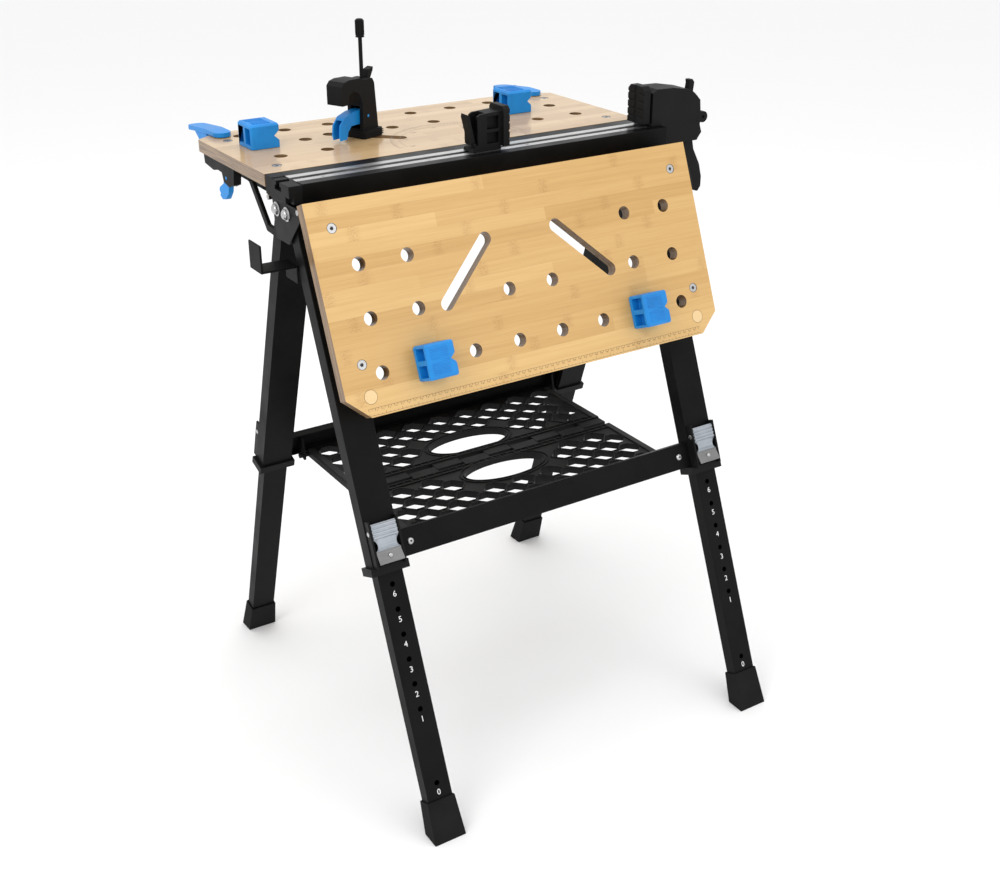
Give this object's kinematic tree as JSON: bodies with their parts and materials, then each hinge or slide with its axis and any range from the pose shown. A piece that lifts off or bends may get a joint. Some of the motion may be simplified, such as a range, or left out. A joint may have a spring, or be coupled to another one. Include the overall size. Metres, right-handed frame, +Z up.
{
  "type": "folding work platform bench",
  "caption": "Folding clamping workbench with a slotted rail, two hinged bamboo worktops, splayed legs that fold and extend, a mesh shelf, dogs and clamps.",
  "frame": {"origin": "centre of the bounding box's footprint, on the floor plane", "axes": "+X along the rail towards the trigger head, +Y towards the level worktop, -Y towards the hanging worktop, +Z up"},
  "size_m": [0.804, 0.7734, 1.061],
  "materials": {
    "rail_black": "satin",
    "track_silver": "satin",
    "steel_zinc": "satin",
    "leg_black": "satin",
    "lever_grey": "satin",
    "black_plastic": "matte",
    "blue_plastic": "matte",
    "rubber_black": "matte",
    "tray_grey": "matte",
    "bamboo": "satin"
  },
  "bodies": {
    "rail": {"rail_housing": "rail_black", "t_track": "track_silver", "track_screws": "steel_zinc", "rail_end_cap": "black_plastic", "bracket_left": "rail_black", "bracket_right": "rail_black", "hinge_pins": "steel_zinc", "head_body": "black_plastic"},
    "front_legs": {"leg_front_left": "leg_black", "leg_front_right": "leg_black", "shelf_rail_front": "leg_black", "lock_collars_front": "black_plastic"},
    "rear_legs": {"leg_rear_left": "leg_black", "leg_rear_right": "leg_black", "shelf_rail_rear": "leg_black", "lock_collars_rear": "black_plastic", "tool_hook": "leg_black"},
    "front_tray": {"tray_front": "tray_grey"},
    "rear_tray": {"tray_rear": "tray_grey"},
    "front_worktop": {"front_panel": "bamboo", "front_panel_screws": "steel_zinc", "front_hinge_arms": "leg_black"},
    "rear_worktop": {"rear_panel": "bamboo", "rear_panel_screws": "steel_zinc", "rear_hinge_arms": "leg_black", "rear_grip_left": "black_plastic", "rear_grip_right": "black_plastic"},
    "strut_left": {"strut_left": "leg_black"},
    "strut_right": {"strut_right": "leg_black"},
    "dog_front_left": {"dog_front_left": "blue_plastic"},
    "dog_front_right": {"dog_front_right": "blue_plastic"},
    "dog_rear_left": {"dog_rear_left": "blue_plastic"},
    "dog_rear_right": {"dog_rear_right": "blue_plastic"},
    "rear_trigger_left": {"rear_trigger_left": "blue_plastic"},
    "rear_trigger_right": {"rear_trigger_right": "blue_plastic"},
    "paddle_left": {"clamp_paddle_left": "blue_plastic"},
    "paddle_right": {"clamp_paddle_right": "blue_plastic"},
    "sliding_jaw": {"sliding_jaw": "black_plastic"},
    "jaw_lever": {"jaw_lever": "black_plastic"},
    "head_jaw": {"head_jaw": "black_plastic"},
    "head_trigger": {"head_trigger": "black_plastic"},
    "head_release": {"head_release": "black_plastic"},
    "head_latch": {"head_latch": "black_plastic"},
    "hold_down": {"hold_down_body": "black_plastic"},
    "hold_down_bar": {"hold_down_bar": "black_plastic"},
    "hold_down_trigger": {"hold_down_trigger": "blue_plastic"},
    "hold_down_release": {"hold_down_release": "black_plastic"},
    "extension_front_left": {"leg_extension_front_left": "leg_black", "foot_front_left": "rubber_black"},
    "lock_lever_front_left": {"lock_lever_front_left": "lever_grey"},
    "extension_front_right": {"leg_extension_front_right": "leg_black", "foot_front_right": "rubber_black"},
    "lock_lever_front_right": {"lock_lever_front_right": "lever_grey"},
    "extension_rear_left": {"leg_extension_rear_left": "leg_black", "foot_rear_left": "rubber_black"},
    "lock_lever_rear_left": {"lock_lever_rear_left": "lever_grey"},
    "extension_rear_right": {"leg_extension_rear_right": "leg_black", "foot_rear_right": "rubber_black"},
    "lock_lever_rear_right": {"lock_lever_rear_right": "lever_grey"}
  },
  "joints": [
    {"name": "front_legs_fold", "type": "hinge", "parent": "rail", "child": "front_legs", "pos_m": [-0.031, -0.02503, 0.843], "axis": [1, 0, 0], "range_deg": [0, 20.5]},
    {"name": "rear_legs_fold", "type": "hinge", "parent": "rail", "child": "rear_legs", "pos_m": [-0.031, 0.00717, 0.843], "axis": [1, 0, 0], "range_deg": [-17.01, 0]},
    {"name": "front_tray_fold", "type": "hinge", "parent": "front_legs", "child": "front_tray", "pos_m": [-0.031, -0.19476, 0.3875], "axis": [1, 0, 0], "range_deg": [0, 67.5]},
    {"name": "rear_tray_fold", "type": "hinge", "parent": "rear_legs", "child": "rear_tray", "pos_m": [-0.031, 0.14274, 0.3875], "axis": [1, 0, 0], "range_deg": [0, 105]},
    {"name": "extension_front_left_slide", "type": "slide", "parent": "front_legs", "child": "extension_front_left", "axis": [0, 0.3795, 0.9252], "range_m": [0, 0.2945]},
    {"name": "lock_lever_front_left_turn", "type": "hinge", "parent": "front_legs", "child": "lock_lever_front_left", "pos_m": [-0.3215, -0.21493, 0.43003], "axis": [-1, 0, 0], "range_deg": [0, 25], "stiffness_Nm_per_rad": 0.4, "springref_deg": -17.19},
    {"name": "extension_front_right_slide", "type": "slide", "parent": "front_legs", "child": "extension_front_right", "axis": [0, 0.3795, 0.9252], "range_m": [0, 0.2945]},
    {"name": "lock_lever_front_right_turn", "type": "hinge", "parent": "front_legs", "child": "lock_lever_front_right", "pos_m": [0.2595, -0.21493, 0.43003], "axis": [-1, 0, 0], "range_deg": [0, 25], "stiffness_Nm_per_rad": 0.4, "springref_deg": -17.19},
    {"name": "extension_rear_left_slide", "type": "slide", "parent": "rear_legs", "child": "extension_rear_left", "axis": [0, -0.3173, 0.9483], "range_m": [0, 0.2945]},
    {"name": "lock_lever_rear_left_turn", "type": "hinge", "parent": "rear_legs", "child": "lock_lever_rear_left", "pos_m": [-0.3215, 0.16225, 0.43941], "axis": [1, 0, 0], "range_deg": [0, 25], "stiffness_Nm_per_rad": 0.4, "springref_deg": -17.19},
    {"name": "extension_rear_right_slide", "type": "slide", "parent": "rear_legs", "child": "extension_rear_right", "axis": [0, -0.3173, 0.9483], "range_m": [0, 0.2945]},
    {"name": "lock_lever_rear_right_turn", "type": "hinge", "parent": "rear_legs", "child": "lock_lever_rear_right", "pos_m": [0.2595, 0.16225, 0.43941], "axis": [1, 0, 0], "range_deg": [0, 25], "stiffness_Nm_per_rad": 0.4, "springref_deg": -17.19},
    {"name": "front_worktop_lift", "type": "hinge", "parent": "rail", "child": "front_worktop", "pos_m": [-0.031, -0.05806, 0.8526], "axis": [-1, 0, 0], "range_deg": [0, 67.7]},
    {"name": "rear_worktop_drop", "type": "hinge", "parent": "rail", "child": "rear_worktop", "pos_m": [-0.031, 0.03653, 0.8526], "axis": [-1, 0, 0], "range_deg": [0, 62]},
    {"name": "strut_left_turn", "type": "hinge", "parent": "rear_worktop", "child": "strut_left", "pos_m": [-0.339, 0.11724, 0.8587], "axis": [1, 0, 0], "range_deg": [0, 128]},
    {"name": "rear_trigger_left_squeeze", "type": "hinge", "parent": "rear_worktop", "child": "rear_trigger_left", "pos_m": [-0.3495, 0.17424, 0.85], "axis": [1, 0, 0], "range_deg": [0, 18], "stiffness_Nm_per_rad": 0.3, "springref_deg": -11.46},
    {"name": "paddle_left_turn", "type": "hinge", "parent": "rear_worktop", "child": "paddle_left", "pos_m": [-0.321, 0.31523, 0.852], "axis": [-1, 0, 0], "range_deg": [0, 60]},
    {"name": "strut_right_turn", "type": "hinge", "parent": "rear_worktop", "child": "strut_right", "pos_m": [0.277, 0.11724, 0.8587], "axis": [1, 0, 0], "range_deg": [0, 128]},
    {"name": "rear_trigger_right_squeeze", "type": "hinge", "parent": "rear_worktop", "child": "rear_trigger_right", "pos_m": [0.2875, 0.17424, 0.85], "axis": [1, 0, 0], "range_deg": [0, 18], "stiffness_Nm_per_rad": 0.3, "springref_deg": -11.46},
    {"name": "paddle_right_turn", "type": "hinge", "parent": "rear_worktop", "child": "paddle_right", "pos_m": [0.259, 0.31523, 0.852], "axis": [-1, 0, 0], "range_deg": [0, 60]},
    {"name": "dog_front_left_pull", "type": "slide", "parent": "front_worktop", "child": "dog_front_left", "axis": [0, -0.9252, 0.3795], "range_m": [0, 0.03]},
    {"name": "dog_rear_left_pull", "type": "slide", "parent": "rear_worktop", "child": "dog_rear_left", "axis": [0, 0, 1], "range_m": [0, 0.03]},
    {"name": "dog_front_right_pull", "type": "slide", "parent": "front_worktop", "child": "dog_front_right", "axis": [0, -0.9252, 0.3795], "range_m": [0, 0.03]},
    {"name": "dog_rear_right_pull", "type": "slide", "parent": "rear_worktop", "child": "dog_rear_right", "axis": [0, 0, 1], "range_m": [0, 0.03]},
    {"name": "sliding_jaw_travel", "type": "slide", "parent": "rail", "child": "sliding_jaw", "axis": [1, 0, 0], "range_m": [-0.26, 0.18]},
    {"name": "jaw_lever_squeeze", "type": "hinge", "parent": "sliding_jaw", "child": "jaw_lever", "pos_m": [-0.048, -0.01376, 0.899], "axis": [0, 1, 0], "range_deg": [0, 12], "stiffness_Nm_per_rad": 0.1, "springref_deg": -11.46},
    {"name": "head_jaw_travel", "type": "slide", "parent": "rail", "child": "head_jaw", "axis": [-1, 0, 0], "range_m": [0, 0.06]},
    {"name": "head_trigger_squeeze", "type": "hinge", "parent": "rail", "child": "head_trigger", "pos_m": [0.36, -0.01277, 0.862], "axis": [0, 1, 0], "range_deg": [0, 14], "stiffness_Nm_per_rad": 0.4, "springref_deg": -11.46},
    {"name": "head_release_push", "type": "hinge", "parent": "rail", "child": "head_release", "pos_m": [0.362, -0.01277, 0.925], "axis": [0, 1, 0], "range_deg": [0, 15], "stiffness_Nm_per_rad": 0.1, "springref_deg": -11.46},
    {"name": "head_latch_lift", "type": "hinge", "parent": "rail", "child": "head_latch", "pos_m": [0.367, -0.01277, 0.887], "axis": [0, -1, 0], "range_deg": [0, 25]},
    {"name": "hold_down_travel", "type": "slide", "parent": "rear_worktop", "child": "hold_down", "axis": [-0.7159, 0.6982, 0], "range_m": [-0.052, 0.048]},
    {"name": "hold_down_bar_lift", "type": "slide", "parent": "hold_down", "child": "hold_down_bar", "axis": [0, 0, 1], "range_m": [0, 0.03]},
    {"name": "hold_down_trigger_squeeze", "type": "hinge", "parent": "hold_down", "child": "hold_down_trigger", "pos_m": [-0.13768, 0.15767, 0.921], "axis": [-0.3907, 0.9205, 0], "range_deg": [0, 12], "stiffness_Nm_per_rad": 0.2, "springref_deg": -11.46},
    {"name": "hold_down_release_push", "type": "hinge", "parent": "hold_down", "child": "hold_down_release", "pos_m": [-0.1248, 0.16314, 0.966], "axis": [-0.3907, 0.9205, 0], "range_deg": [0, 15], "stiffness_Nm_per_rad": 0.05, "springref_deg": -11.46}
  ],
  "couplings": [
    {"joint": "rear_legs_fold", "follows": "front_legs_fold", "ratio": -0.82927},
    {"joint": "front_tray_fold", "follows": "front_legs_fold", "ratio": 3.29},
    {"joint": "rear_tray_fold", "follows": "front_legs_fold", "ratio": 5.12},
    {"joint": "strut_left_turn", "follows": "rear_worktop_drop", "ratio": 2.06},
    {"joint": "strut_right_turn", "follows": "rear_worktop_drop", "ratio": 2.06}
  ]
}
